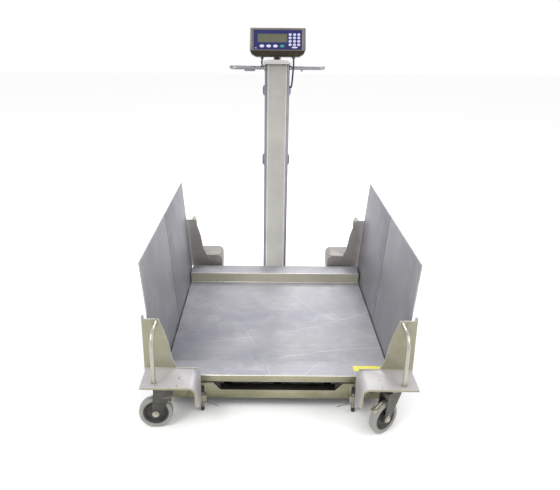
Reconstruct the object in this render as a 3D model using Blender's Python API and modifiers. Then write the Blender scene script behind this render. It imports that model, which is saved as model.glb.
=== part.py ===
"""Mobile floor scale for animals: deck on load cells, fold-up ramps, corner brackets on casters, indicator."""
import math

import bmesh
import bpy

for item in list(bpy.data.objects):
    bpy.data.objects.remove(item, do_unlink=True)

# Overall layout, metres. The floor is z = 0 and the deck centre is x = y = 0.
GAP = 0.0003
DECK_HALF_X = 0.452
DECK_HALF_Y = 0.5335
DECK_TOP = 0.095
STRIP_TOP = 0.148
STRIP_DEPTH = 0.103
LIP_BOTTOM = 0.119
DECK_SHEET = 0.005

FRAME_BOTTOM = 0.046
FRAME_BAR_TOP = 0.082
FRAME_CORNER_TOP = 0.113

HINGE_X = 0.463
HINGE_Z = 0.072
HINGE_ROD_R = 0.0045
KNUCKLE_R = 0.008
RAMP_LEAN = math.radians(4.59)
RAMP_REACH = 0.546
RAMP_SHEET = 0.005
RAMP_HALF_Y = 0.5455
RAMP_SEAM = 0.003
RAMP_OFFSET = -0.0058

PLATE_TOP = 0.201
PLATE_THICK = 0.008
BRACKET_OUT_X = 0.497
BRACKET_IN_X = 0.293
BRACKET_END_Y = 0.697
WEB_Y = 0.5615
WEB_THICK = 0.006
WEB_TOP = 0.405

SWIVEL_X = 0.415
SWIVEL_Y = 0.6385
TRAIL = 0.038
WHEEL_R = 0.0625
SWIVEL_ANGLES = {(-1, -1): 184.0, (1, -1): 217.0, (1, 1): 4.0, (-1, 1): 37.0}

FOOT_X = 0.2915
FOOT_Y = 0.5505
STUD_R = 0.0064

COLUMN_HALF_X = 0.063
COLUMN_FRONT = 0.595
COLUMN_BACK = 0.685
COLUMN_TOP = 1.2215
LOOP_Z = 1.2015

TILT_Y = 0.655
TILT_Z = 1.306
TERMINAL_LEAN = math.radians(-12.0)

SIDE = {-1: "left", 1: "right"}
END = {-1: "front", 1: "rear"}

parts = bpy.data.collections.new("animal_weighing_scale")
cutters = bpy.data.collections.new("cutters")
bpy.context.scene.collection.children.link(parts)
bpy.context.scene.collection.children.link(cutters)


def material(name, color, metallic, roughness):
    mat = bpy.data.materials.new(name)
    mat.use_nodes = True
    shader = mat.node_tree.nodes["Principled BSDF"]
    shader.inputs["Base Color"].default_value = (*color, 1.0)
    shader.inputs["Metallic"].default_value = metallic
    shader.inputs["Roughness"].default_value = roughness
    return mat


deck_steel = material("deck_steel", (0.55, 0.55, 0.60), 1.0, 0.38)
frame_steel = material("frame_steel", (0.42, 0.41, 0.33), 1.0, 0.40)
ramp_sheet = material("ramp_sheet", (0.38, 0.40, 0.45), 1.0, 0.30)
bracket_steel = material("bracket_steel", (0.60, 0.59, 0.57), 1.0, 0.36)
rod_steel = material("rod_steel", (0.66, 0.66, 0.64), 1.0, 0.22)
cell_steel = material("cell_steel", (0.55, 0.55, 0.55), 1.0, 0.30)
fork_steel = material("fork_steel", (0.10, 0.10, 0.11), 0.6, 0.45)
zinc_steel = material("zinc_steel", (0.50, 0.50, 0.47), 1.0, 0.35)
core_plastic = material("core_plastic", (0.06, 0.06, 0.06), 0.0, 0.55)
tyre_rubber = material("tyre_rubber", (0.26, 0.26, 0.25), 0.0, 0.75)
foot_rubber = material("foot_rubber", (0.015, 0.015, 0.015), 0.0, 0.80)
column_steel = material("column_steel", (0.62, 0.60, 0.56), 1.0, 0.38)
neck_black = material("neck_black", (0.02, 0.02, 0.022), 0.0, 0.45)
housing_steel = material("housing_steel", (0.40, 0.37, 0.36), 1.0, 0.34)
overlay_film = material("overlay_film", (0.012, 0.015, 0.13), 0.0, 0.35)
lcd_glass = material("lcd_glass", (0.15, 0.16, 0.09), 0.0, 0.12)
cable_black = material("cable_black", (0.012, 0.012, 0.02), 0.0, 0.55)


def add_mesh(name, mesh, collection=cutters):
    obj = bpy.data.objects.new(name, mesh)
    collection.objects.link(obj)
    return obj


def prism(name, outline, axis, start, end):
    """Closed prism: outline is (x, y) for axis Z, (x, z) for axis Y and (y, z) for axis X."""
    def point(a, b, c):
        return {"X": (c, a, b), "Y": (a, c, b), "Z": (a, b, c)}[axis]
    bm = bmesh.new()
    rim = [bm.verts.new(point(a, b, start)) for a, b in outline]
    base = bm.faces.new(rim)
    grown = bmesh.ops.extrude_face_region(bm, geom=[base])
    shift = point(0.0, 0.0, end - start)
    moved = [v for v in grown["geom"] if isinstance(v, bmesh.types.BMVert)]
    bmesh.ops.translate(bm, verts=moved, vec=shift)
    bmesh.ops.recalc_face_normals(bm, faces=bm.faces)
    mesh = bpy.data.meshes.new(name)
    bm.to_mesh(mesh)
    bm.free()
    return add_mesh(name, mesh)


def block(name, low, high):
    outline = [(low[0], low[1]), (high[0], low[1]), (high[0], high[1]), (low[0], high[1])]
    return prism(name, outline, "Z", low[2], high[2])


def turned(name, profile, steps=32, closed=True):
    """Turned body about local Z; profile is (radius, z), listed from the top downwards on the outside."""
    count = len(profile)
    edges = [(i, i + 1) for i in range(count - 1)]
    if closed:
        edges.append((count - 1, 0))
    mesh = bpy.data.meshes.new(name)
    mesh.from_pydata([(r, 0.0, z) for r, z in profile], edges, [])
    obj = add_mesh(name, mesh)
    screw = obj.modifiers.new("turn", "SCREW")
    screw.axis = "Z"
    screw.steps = steps
    screw.render_steps = steps
    screw.use_merge_vertices = True
    screw.merge_threshold = 0.00005
    screw.use_smooth_shade = False
    return obj


def rod(name, points, radius, sides=2):
    """Round bar along a path, with flat closed ends."""
    curve = bpy.data.curves.new(name + "_path", "CURVE")
    curve.dimensions = "3D"
    curve.bevel_depth = radius
    curve.bevel_resolution = sides
    curve.use_fill_caps = True
    spline = curve.splines.new("POLY")
    spline.points.add(len(points) - 1)
    for knot, place in zip(spline.points, points):
        knot.co = (*place, 1.0)
    path = bpy.data.objects.new(name + "_path", curve)
    cutters.objects.link(path)
    bpy.context.view_layer.update()
    evaluated = path.evaluated_get(bpy.context.evaluated_depsgraph_get())
    mesh = bpy.data.meshes.new_from_object(evaluated)
    bm = bmesh.new()
    bm.from_mesh(mesh)
    bmesh.ops.remove_doubles(bm, verts=bm.verts, dist=0.00001)
    bmesh.ops.recalc_face_normals(bm, faces=bm.faces)
    bm.to_mesh(mesh)
    bm.free()
    mesh.name = name
    bpy.data.objects.remove(path, do_unlink=True)
    return add_mesh(name, mesh)


def combine(obj, tool, operation):
    step = obj.modifiers.new(operation.lower(), "BOOLEAN")
    step.operation = operation
    step.object = tool
    step.solver = "EXACT"
    tool.hide_render = True
    tool.display_type = "WIRE"
    return obj


def join(obj, *tools):
    for tool in tools:
        combine(obj, tool, "UNION")
    return obj


def cut(obj, *tools):
    for tool in tools:
        combine(obj, tool, "DIFFERENCE")
    return obj


def place(obj, mat, location=(0.0, 0.0, 0.0), rotation=(0.0, 0.0, 0.0)):
    """Moves a finished piece and the shapes it is built from, and files it with the parts."""
    for step in obj.modifiers:
        if step.type == "BOOLEAN":
            step.object.location = location
            step.object.rotation_euler = rotation
    obj.location = location
    obj.rotation_euler = rotation
    cutters.objects.unlink(obj)
    parts.objects.link(obj)
    obj.data.materials.append(mat)
    return obj


def arc(cx, cy, radius, start, end, count):
    angles = [math.radians(start + (end - start) * i / count) for i in range(count + 1)]
    return [(cx + radius * math.cos(a), cy + radius * math.sin(a)) for a in angles]


def mirror(outline, sign):
    return [(a * sign, b) for a, b in outline]


# Deck: one bent sheet with a raised strip at each end, side skirts and ribs below.
inner = DECK_SHEET
back = DECK_HALF_Y - STRIP_DEPTH
upper = [(DECK_HALF_Y, LIP_BOTTOM), (DECK_HALF_Y, STRIP_TOP), (back, STRIP_TOP), (back, DECK_TOP)]
lower = [(DECK_HALF_Y - inner, LIP_BOTTOM), (DECK_HALF_Y - inner, STRIP_TOP - inner),
         (back + inner, STRIP_TOP - inner), (back + inner, DECK_TOP - inner)]
outline = upper + mirror(upper, -1)[::-1] + mirror(lower, -1) + lower[::-1]
deck = prism("deck", outline, "X", -DECK_HALF_X, DECK_HALF_X)
skirt_shape = [(DECK_HALF_Y, LIP_BOTTOM), (DECK_HALF_Y, STRIP_TOP), (back, STRIP_TOP), (back, DECK_TOP)]
skirt_shape += mirror(skirt_shape, -1)[::-1]
skirt_shape += [(-back - inner, LIP_BOTTOM), (-back - inner, 0.068), (back + inner, 0.068), (back + inner, LIP_BOTTOM)]
for sx in (-1, 1):
    ends = sorted((sx * (DECK_HALF_X - inner), sx * DECK_HALF_X))
    join(deck, prism("skirt_" + SIDE[sx], skirt_shape, "X", *ends))
for i in range(5):
    y = -0.34 + 0.17 * i
    join(deck, block("rib_%d" % i, (-0.449, y - 0.02, 0.071), (0.449, y + 0.02, 0.0915)))
place(deck, deck_steel)

# Base frame: front and rear beams with raised corners, side rails, ties and hinge lugs.
beam_shape = [(0.45, FRAME_BOTTOM), (0.45, FRAME_CORNER_TOP), (0.250, FRAME_CORNER_TOP), (0.2225, FRAME_BAR_TOP)]
beam_shape += mirror(beam_shape, -1)[::-1]
frame = prism("base_frame", beam_shape, "Y", -DECK_HALF_Y, -DECK_HALF_Y + 0.005)
join(frame, prism("rear_web", beam_shape, "Y", DECK_HALF_Y - 0.005, DECK_HALF_Y))
for sy in (-1, 1):
    ends = sorted((sy * (DECK_HALF_Y - 0.001), sy * 0.4885))
    join(frame, block("lower_flange_" + END[sy], (-0.45, ends[0], FRAME_BOTTOM), (0.45, ends[1], 0.051)))
    join(frame, block("upper_flange_" + END[sy], (-0.224, ends[0], 0.077), (0.224, ends[1], FRAME_BAR_TOP)))
    for sx in (-1, 1):
        xs = sorted((sx * 0.252, sx * 0.45))
        join(frame, block("pad_%s_%s" % (SIDE[sx], END[sy]), (xs[0], ends[0], 0.107), (xs[1], ends[1], FRAME_CORNER_TOP)))
lug_shape = [(0.440, 0.048), (0.466, 0.048), (0.471, 0.056), (0.471, 0.078), (0.467, 0.0805),
             (0.459, 0.0805), (0.4552, 0.076), (0.4552, 0.064), (0.440, 0.064)]
LUG_Y = (0.018, 0.2735, 0.529)
for sx in (-1, 1):
    xs = sorted((sx * 0.405, sx * 0.45))
    join(frame, block("rail_" + SIDE[sx], (xs[0], -0.4895, FRAME_BOTTOM + 0.001), (xs[1], 0.4895, 0.0635)))
    for sy in (-1, 1):
        for n, y in enumerate(LUG_Y):
            span = sorted((sy * (y - 0.006), sy * (y + 0.006)))
            join(frame, prism("lug_%s_%s_%d" % (SIDE[sx], END[sy], n), mirror(lug_shape, sx), "Y", *span))
for i in range(3):
    x = -0.2 + 0.2 * i
    join(frame, block("tie_%d" % i, (x - 0.015, -0.490, 0.0465), (x + 0.015, 0.490, 0.058)))
for sx in (-1, 1):
    bore = rod("rod_bore_" + SIDE[sx], [(sx * HINGE_X, -0.56, HINGE_Z), (sx * HINGE_X, 0.56, HINGE_Z)], 0.0048, 4)
    cut(frame, bore)
place(frame, frame_steel)

# Ramps: leaning sheet with three knuckles on the hinge rod; origin on the hinge axis.
KNUCKLE_Y = (0.062, 0.2735, 0.475)
for sx in (-1, 1):
    pin = rod("hinge_rod_" + SIDE[sx], [(0.0, -0.5365, 0.0), (0.0, 0.5365, 0.0)], HINGE_ROD_R, 4)
    place(pin, rod_steel, (sx * HINGE_X, 0.0, HINGE_Z))
    for sy in (-1, 1):
        name = "ramp_%s_%s" % (SIDE[sx], END[sy])
        near = RAMP_SEAM / 2
        length = RAMP_HALF_Y - near
        middle = near + length / 2
        half = length / 2
        ramp = block(name, (RAMP_OFFSET - 0.0025, -half, 0.0135), (RAMP_OFFSET + 0.0025, half, RAMP_REACH))
        bores = []
        for n, y in enumerate((0.062, 0.2135, 0.3335, 0.485)):
            centre = y - middle
            barrel = rod("%s_knuckle_%d" % (name, n), [(0.0, centre - 0.02, 0.0), (0.0, centre + 0.02, 0.0)], KNUCKLE_R, 4)
            tongue = block("%s_tongue_%d" % (name, n), (RAMP_OFFSET - 0.0021, centre - 0.0195, -0.001),
                           (RAMP_OFFSET + 0.0021, centre + 0.0195, 0.0145))
            join(ramp, tongue, barrel)
        cut(ramp, rod(name + "_bore", [(0.0, -half - 0.01, 0.0), (0.0, half + 0.01, 0.0)], 0.0048, 4))
        turn = 0.0 if sx > 0 else math.pi
        place(ramp, ramp_sheet, (sx * HINGE_X, sy * middle, HINGE_Z), (0.0, RAMP_LEAN, turn))

# Corner brackets, their mounts, handles, casters, levelling feet and load cells, one set at each corner.
plate_path = [(BRACKET_OUT_X, PLATE_TOP)] + arc(BRACKET_IN_X + 0.03, PLATE_TOP - 0.03, 0.03, 90, 180, 8)
plate_path += [(BRACKET_IN_X, 0.130), (BRACKET_IN_X + PLATE_THICK, 0.130)]
plate_path += arc(BRACKET_IN_X + 0.03, PLATE_TOP - 0.03, 0.03 - PLATE_THICK, 180, 90, 8)
plate_path += [(BRACKET_OUT_X, PLATE_TOP - PLATE_THICK)]
web_shape = [(0.497, 0.135), (0.497, WEB_TOP), (0.442, WEB_TOP), (0.437, 0.401), (0.4345, 0.390), (0.4195, 0.348),
             (0.4085, 0.310), (0.402, 0.270), (0.396, 0.238), (0.379, 0.2004)]
web_shape += arc(BRACKET_IN_X + 0.0305, PLATE_TOP - 0.0305, 0.03, 90, 180, 8)
web_shape += [(0.2935, 0.125), (0.3075, 0.125), (0.3075, 0.0985), (0.350, 0.0985), (0.350, 0.135)]
tail_shape = [(BRACKET_END_Y, 0.135), (BRACKET_END_Y, 0.122), (0.5645, 0.040), (0.5645, 0.135)]
flange_shape = [(0.5495, 0.205), (0.5495, 0.409), (0.5525, 0.415), (0.558, 0.417), (WEB_Y + WEB_THICK, 0.417),
                (WEB_Y + WEB_THICK, 0.150), (0.5615, 0.150)]

core_profile = [(0.0053, 0.0165), (0.0145, 0.0165), (0.0165, 0.0145), (0.019, 0.006), (0.036, 0.005), (0.041, 0.0105),
                (0.047, 0.0120), (0.047, -0.0120), (0.041, -0.0105), (0.036, -0.005), (0.019, -0.006),
                (0.0165, -0.0145), (0.0145, -0.0165), (0.0053, -0.0165)]
tyre_profile = [(0.0473, 0.0125), (0.052, 0.0150), (0.0575, 0.0150), (0.0612, 0.0125), (0.0625, 0.0070),
                (0.0625, -0.0070), (0.0612, -0.0125), (0.0575, -0.0150), (0.052, -0.0150), (0.0473, -0.0125)]
fork_side = [(-0.030, 0.003), (-0.030, -0.014), (0.0215, -0.1040)]
fork_side += arc(0.038, 0.0625 - 0.165, 0.0165, 200, 350, 8)
fork_side += [(0.0425, -0.014), (0.0425, 0.003)]

for sx in (-1, 1):
    for sy in (-1, 1):
        tag = "%s_%s" % (SIDE[sx], END[sy])
        where = (sx * SWIVEL_X, sy * SWIVEL_Y)

        bracket = prism("bracket_" + tag, mirror(plate_path, sx), "Y", *sorted((sy * (WEB_Y + 0.003), sy * BRACKET_END_Y)))
        join(bracket, prism("web_" + tag, mirror(web_shape, sx), "Y", *sorted((sy * WEB_Y, sy * (WEB_Y + WEB_THICK)))))
        join(bracket, prism("flange_" + tag, mirror(flange_shape, sy), "X", *sorted((sx * 0.4965, sx * 0.5025))))
        tail = prism("tail_" + tag, mirror(tail_shape, sy), "X",
                     *sorted((sx * BRACKET_IN_X, sx * (BRACKET_IN_X + PLATE_THICK))))
        join(bracket, tail)
        place(bracket, bracket_steel)

        def corner_block(name, low, high):
            xs, ys = sorted((sx * low[0], sx * high[0])), sorted((sy * low[1], sy * high[1]))
            return block(name + "_" + tag, (xs[0], ys[0], low[2]), (xs[1], ys[1], high[2]))

        inner_y = DECK_HALF_Y + GAP
        mount = corner_block("bracket_mount", (0.275, inner_y, 0.050), (0.350, 0.5375, 0.1125))
        join(mount, corner_block("mount_bar", (0.3075, 0.536, 0.0985), (0.350, WEB_Y - GAP, 0.1125)))
        if sy < 0:
            nut = corner_block("foot_nut", (0.275, 0.536, 0.050), (0.308, 0.5642, 0.0756))
            hole = rod("stud_hole_" + tag, [(sx * FOOT_X, sy * FOOT_Y, 0.04), (sx * FOOT_X, sy * FOOT_Y, 0.09)],
                       0.0068, 6)
            join(mount, nut)
            cut(mount, hole)
        place(mount, bracket_steel)

        bend = [(0.617 + y, 0.342 + z) for y, z in arc(0.0, 0.0, 0.055, 90, 0, 10)]
        line = [(WEB_Y + WEB_THICK + GAP, 0.397)] + bend + [(0.672, PLATE_TOP + GAP)]
        handle = rod("handle_" + tag, [(sx * 0.4485, sy * y, z) for y, z in line], 0.008, 4)
        place(handle, rod_steel)

        mount = block("caster_plate_" + tag, (-0.050, -0.045, 0.187 - 0.165), (0.050, 0.045, 0.1927 - 0.165))
        race = turned("race_" + tag, [(0.0, 0.024), (0.034, 0.024), (0.034, 0.012), (0.028, 0.0035), (0.0058, 0.0035),
                                      (0.0058, -0.010), (0.010, -0.010), (0.010, -0.017), (0.0, -0.017)], 32, False)
        join(mount, race)
        place(mount, zinc_steel, (*where, 0.165))

        angle = math.radians(SWIVEL_ANGLES[(sx, sy)])
        fork = prism("fork_" + tag, fork_side, "Y", -0.0215, 0.0215)
        cut(fork, block("fork_space_" + tag, (-0.06, -0.0185, -0.14), (0.08, 0.0185, -0.004)))
        cut(fork, turned("king_hole_" + tag, [(0.0, 0.01), (0.0062, 0.01), (0.0062, -0.01), (0.0, -0.01)], 24, False))
        bolt = rod("axle_" + tag, [(TRAIL, -0.0275, WHEEL_R - 0.165), (TRAIL, 0.0275, WHEEL_R - 0.165)], 0.0050, 4)
        heads = [rod("axle_%s_%s" % (end, tag), [(TRAIL, a, WHEEL_R - 0.165), (TRAIL, b, WHEEL_R - 0.165)], 0.0085, 1)
                 for end, a, b in (("head", -0.0270, -0.0210), ("nut", 0.0210, 0.0270))]
        join(fork, bolt, *heads)
        place(fork, fork_steel, (*where, 0.165), (0.0, 0.0, angle))

        hub = (where[0] + TRAIL * math.cos(angle), where[1] + TRAIL * math.sin(angle), WHEEL_R)
        turn = (math.pi / 2, 0.0, angle)
        place(turned("wheel_core_" + tag, core_profile, 36), core_plastic, hub, turn)
        place(turned("tyre_" + tag, tyre_profile, 44), tyre_rubber, hub, turn)

        if sy < 0:
            axis = (sx * FOOT_X, sy * FOOT_Y, 0.0)
            stud = turned("foot_stud_" + tag, [(0.0, 0.1050), (0.0080, 0.1050), (0.0095, 0.1035), (0.0095, 0.0870),
                                               (0.0080, 0.0855), (STUD_R, 0.0855), (STUD_R, 0.0205), (0.0040, 0.0195),
                                               (0.0040, 0.0100), (0.0, 0.0100)], 24, False)
            place(stud, zinc_steel, axis)
            pad = turned("foot_pad_" + tag, [(0.0, 0.0097), (0.0043, 0.0097), (0.0043, 0.0192), (0.0068, 0.0185),
                                             (0.0076, 0.0080), (0.0066, 0.0020), (0.0, 0.0005)], 24, False)
            place(pad, foot_rubber, axis)
            lever = prism("jam_lever_" + tag, arc(0.0, 0.0, 0.0125, 30, 330, 5), "Z", 0.0375, 0.0470)
            arm = rod("jam_arm_" + tag, [(-sx * 0.0085, -0.0035, 0.0425), (-sx * 0.0650, -0.0270, 0.0400)], 0.0017, 2)
            join(lever, arm)
            cut(lever, rod("jam_bore_" + tag, [(0.0, 0.0, 0.03), (0.0, 0.0, 0.06)], 0.0068, 6))
            place(lever, zinc_steel, axis)

        cell = block("load_cell_" + tag, (-0.065, -0.0165, 0.1193), (0.065, 0.0165, 0.1373))
        join(cell, block("cell_seat_" + tag, (-0.063, -0.016, FRAME_CORNER_TOP + GAP), (-0.018, 0.016, 0.120)))
        join(cell, turned("cell_button_" + tag, [(0.0, 0.1427), (0.008, 0.1422), (0.011, 0.139), (0.011, 0.136),
                                                 (0.0, 0.136)], 24, False))
        for step in cell.modifiers:
            step.object.hide_render = True
        place(cell, cell_steel, (sx * 0.355, sy * 0.509, 0.0), (0.0, 0.0, 0.0 if sx < 0 else math.pi))

# Column: rectangular tube with rounded edges, open at both ends.
def rounded(half_x, y0, y1, radius):
    shape = arc(half_x - radius, y1 - radius, radius, 0, 90, 5)
    shape += arc(-half_x + radius, y1 - radius, radius, 90, 180, 5)
    shape += arc(-half_x + radius, y0 + radius, radius, 180, 270, 5)
    shape += arc(half_x - radius, y0 + radius, radius, 270, 360, 5)
    return shape


column = prism("column", rounded(COLUMN_HALF_X, COLUMN_FRONT, COLUMN_BACK, 0.014), "Z", 0.070, COLUMN_TOP)
hollow = prism("column_hollow", rounded(COLUMN_HALF_X - 0.003, COLUMN_FRONT + 0.003, COLUMN_BACK - 0.003, 0.011),
               "Z", 0.078, COLUMN_TOP + 0.02)
cut(column, hollow)
join(column, block("column_foot", (-0.085, DECK_HALF_Y + GAP, 0.0465), (0.085, 0.700, 0.0750)))
place(column, column_steel)

cap_shape = [(0.0735, 1.2218), (0.0735, 1.2265), (0.068, 1.2300), (0.050, 1.2360), (0.026, 1.2405), (0.0, 1.2418)]
cap = prism("column_cap", cap_shape + mirror(cap_shape, -1)[-2::-1], "Y", 0.583, 0.697)
place(cap, column_steel)

for sx in (-1, 1):
    y0, y1 = 0.6145, 0.6655
    inner_x = COLUMN_HALF_X + GAP
    straight = 0.234 - (y1 - y0) / 2
    bend = [(straight + a, (y0 + y1) / 2 + b) for a, b in arc(0.0, 0.0, (y1 - y0) / 2, -90, 90, 10)]
    line = [(inner_x, y0)] + bend + [(inner_x, y1)]
    loop = rod("hand_loop_" + SIDE[sx], [(sx * x, y, LOOP_Z) for x, y in line], 0.0095, 4)
    xs = sorted((sx * 0.113, sx * 0.166)) if sx < 0 else sorted((sx * 0.120, sx * 0.129))
    join(loop, block("loop_tab_" + SIDE[sx], (xs[0], y0 - 0.004, LOOP_Z - 0.017), (xs[1], y1 + 0.004, LOOP_Z - 0.006)))
    place(loop, rod_steel)

for n, (low, high) in enumerate(((0.682, 0.750), (1.055, 1.111))):
    level = "lower" if n == 0 else "upper"
    c = (high - low) * 0.32
    shape = [(0.0735, low + c), (0.0735, high - c), (0.0715, high - c * 0.4), (0.064, high), (-0.064, high),
             (-0.0715, high - c * 0.4), (-0.0735, high - c), (-0.0735, low + c), (-0.0715, low + c * 0.4),
             (-0.064, low), (0.064, low), (0.0715, low + c * 0.4)]
    hook = prism("cable_hook_" + level, shape, "Y", COLUMN_BACK + GAP, COLUMN_BACK + GAP + 0.004)
    for sx in (-1, 1):
        xs = sorted((sx * 0.0695, sx * 0.0735))
        join(hook, block("hook_arm_%s_%s" % (level, SIDE[sx]), (xs[0], COLUMN_BACK + 0.003, low + c), (xs[1], 0.709, high - c)))
        xs = sorted((sx * 0.0735, sx * 0.060))
        join(hook, block("hook_tip_%s_%s" % (level, SIDE[sx]), (xs[0], 0.705, low + c), (xs[1], 0.709, high - c)))
    place(hook, column_steel)

# Indicator: black neck on the cap, tilting bracket, housing, printed overlay, display window.
neck = turned("neck", [(0.0, 0.0005), (0.0105, 0.0005), (0.0105, -0.055), (0.018, -0.057), (0.018, -0.0632),
                       (0.0, -0.0632)], 32, False)
join(neck, rod("neck_barrel", [(-0.026, 0.0, 0.0), (0.026, 0.0, 0.0)], 0.0105, 4))
cut(neck, rod("barrel_bore", [(-0.04, 0.0, 0.0), (0.04, 0.0, 0.0)], 0.0043, 4))
place(neck, neck_black, (0.0, TILT_Y, TILT_Z))

tilt = (0.0, TILT_Y, TILT_Z)
lean = (TERMINAL_LEAN, 0.0, 0.0)
ear_shape = [(-0.0135, -0.022), (-0.0135, 0.022)] + arc(0.0, 0.0, 0.0105, 80, -80, 8)
yoke = block("tilt_bracket", (-0.036, -0.0147, -0.024), (0.036, -0.0117, 0.024))
for sx in (-1, 1):
    join(yoke, prism("ear_" + SIDE[sx], ear_shape, "X", *sorted((sx * 0.0263, sx * 0.0298))))
cut(yoke, rod("ear_bore", [(-0.05, 0.0, 0.0), (0.05, 0.0, 0.0)], 0.0043, 4))
place(yoke, neck_black, tilt, lean)

bolt = rod("tilt_bolt", [(-0.040, 0.0, 0.0), (0.040, 0.0, 0.0)], 0.0040, 4)
for sx in (-1, 1):
    join(bolt, rod("knob_" + SIDE[sx], [(sx * 0.0301, 0.0, 0.0), (sx * 0.0420, 0.0, 0.0)], 0.0090, 2))
place(bolt, neck_black, tilt, lean)

FACE = -0.0737
side_view = [(FACE, -0.0340), (FACE, 0.0700), (FACE + 0.003, 0.0734), (-0.018, 0.0710), (-0.015, 0.0680),
             (-0.015, -0.0540), (-0.020, -0.0600), (-0.0460, -0.0600), (FACE + 0.0025, -0.0376)]
front_view = [(0.133, 0.080), (0.1365, 0.0690), (0.1385, -0.0300), (0.1310, -0.0470), (0.1080, -0.0600), (0.1080, -0.070)]
housing = prism("terminal_housing", side_view, "X", -0.15, 0.15)
combine(housing, prism("front_outline", front_view + mirror(front_view, -1)[::-1], "Y", -0.10, 0.02), "INTERSECT")
cut(housing, block("overlay_pocket", (-0.1198, -0.08, -0.0313), (0.1198, FACE + 0.0020, 0.0629)))
for sx, x in ((-1, -0.077), (1, 0.081)):
    join(housing, rod("gland_" + SIDE[sx], [(x, -0.030, -0.0585), (x, -0.030, -0.0680)], 0.0080, 2))
place(housing, housing_steel, tilt, lean)

overlay = block("terminal_overlay", (-0.1195, FACE + 0.0003, -0.0310), (0.1195, FACE + 0.0017, 0.0626))
cut(overlay, block("window_opening", (-0.0995, -0.08, 0.0045), (0.0460, -0.06, 0.0445)))
place(overlay, overlay_film, tilt, lean)
window = block("terminal_display", (-0.0992, FACE + 0.0007, 0.0048), (0.0457, FACE + 0.0017, 0.0442))
place(window, lcd_glass, tilt, lean)


# Two leads between the indicator and the column.
def smooth(points, count):
    """Catmull-Rom points through the given places."""
    ring = [points[0]] + list(points) + [points[-1]]
    result = []
    for i in range(len(points) - 1):
        p0, p1, p2, p3 = ring[i:i + 4]
        for k in range(count):
            t = k / count
            result.append(tuple(0.5 * (2 * b + (c - a) * t + (2 * a - 5 * b + 4 * c - d) * t * t
                                       + (3 * b - 3 * c + d - a) * t ** 3) for a, b, c, d in zip(p0, p1, p2, p3)))
    return result + [points[-1]]


def from_terminal(x, y, z):
    c, s = math.cos(TERMINAL_LEAN), math.sin(TERMINAL_LEAN)
    return (x, TILT_Y + y * c - z * s, TILT_Z + y * s + z * c)


right_start = [from_terminal(0.081, -0.030, -0.0684)]
right_path = [from_terminal(0.081, -0.030, -0.0745), (0.0815, 0.603, 1.218),
              (0.0795, 0.598, 1.190), (0.0765, 0.600, 1.145), (0.0740, 0.612, 1.117), (0.0715, 0.625, 1.1045)]
right_end = [(COLUMN_HALF_X + GAP, 0.625, 1.1045)]
place(rod("lead_right", right_start + smooth(right_path, 5) + right_end, 0.0042, 2), cable_black)
left_start = [from_terminal(-0.077, -0.030, -0.0684)]
left_path = [from_terminal(-0.077, -0.030, -0.0745), (-0.0792, 0.632, 1.2260),
             (-0.0800, 0.660, 1.2225), (-0.0790, 0.688, 1.2170), (-0.0690, 0.7040, 1.1980),
             (-0.0550, 0.7020, 1.1660), (-0.0500, 0.6940, 1.1500)]
left_end = [(-0.050, COLUMN_BACK + GAP, 1.1500)]
place(rod("lead_left", left_start + smooth(left_path, 5) + left_end, 0.0042, 2), cable_black)

print("pieces:", len(parts.objects))
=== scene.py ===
import math

import bpy
from mathutils import Matrix, Vector


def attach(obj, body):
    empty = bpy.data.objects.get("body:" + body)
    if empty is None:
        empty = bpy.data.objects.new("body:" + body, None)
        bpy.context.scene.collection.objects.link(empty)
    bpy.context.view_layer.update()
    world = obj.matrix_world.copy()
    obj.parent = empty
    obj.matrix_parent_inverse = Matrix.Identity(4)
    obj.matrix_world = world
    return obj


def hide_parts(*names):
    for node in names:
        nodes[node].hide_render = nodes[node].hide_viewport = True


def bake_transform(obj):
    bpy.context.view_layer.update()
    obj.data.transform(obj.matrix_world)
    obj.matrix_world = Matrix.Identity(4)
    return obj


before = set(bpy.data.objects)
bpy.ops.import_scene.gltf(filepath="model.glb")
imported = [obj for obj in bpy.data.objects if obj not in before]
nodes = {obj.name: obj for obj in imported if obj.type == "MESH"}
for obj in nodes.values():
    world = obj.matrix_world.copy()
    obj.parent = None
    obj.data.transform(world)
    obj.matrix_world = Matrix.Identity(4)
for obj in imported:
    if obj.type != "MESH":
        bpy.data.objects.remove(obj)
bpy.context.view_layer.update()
sides = {"left": -1, "right": 1}
ends = {"front": -1, "rear": 1}
corners = [(side, end) for side in sides for end in ends]
print("frame loaded,", len(nodes), "pieces")

# Camera, lights and floor
view = {"place": (-0.0535, -2.4405, 1.422), "downDegrees": 20.25, "turnDegrees": 0.143, "rollDegrees": 0.427,
        "lens": 37.39, "shift": (0.0286, -0.0163)}
lamps = {"key": {"place": (-2.4, -2.6, 3.8), "size": 2.2, "power": 95.0},
         "fill": {"place": (2.9, -1.6, 2.4), "size": 2.0, "power": 38.0},
         "back": {"place": (0.6, 2.8, 3.2), "size": 2.0, "power": 55.0}}


def setCamera():
    lens = bpy.data.cameras.new("viewCamera")
    lens.lens = view["lens"]
    lens.sensor_width = 36.0
    lens.sensor_fit = "HORIZONTAL"
    lens.shift_x, lens.shift_y = view["shift"]
    camera = bpy.data.objects.new("viewCamera", lens)
    bpy.context.scene.collection.objects.link(camera)
    turn = Matrix.Rotation(math.radians(view["turnDegrees"]), 4, "Z")
    tip = Matrix.Rotation(math.radians(90.0 - view["downDegrees"]), 4, "X")
    roll = Matrix.Rotation(math.radians(view["rollDegrees"]), 4, "Z")
    camera.matrix_world = Matrix.Translation(view["place"]) @ turn @ tip @ roll
    bpy.context.scene.camera = camera


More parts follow.
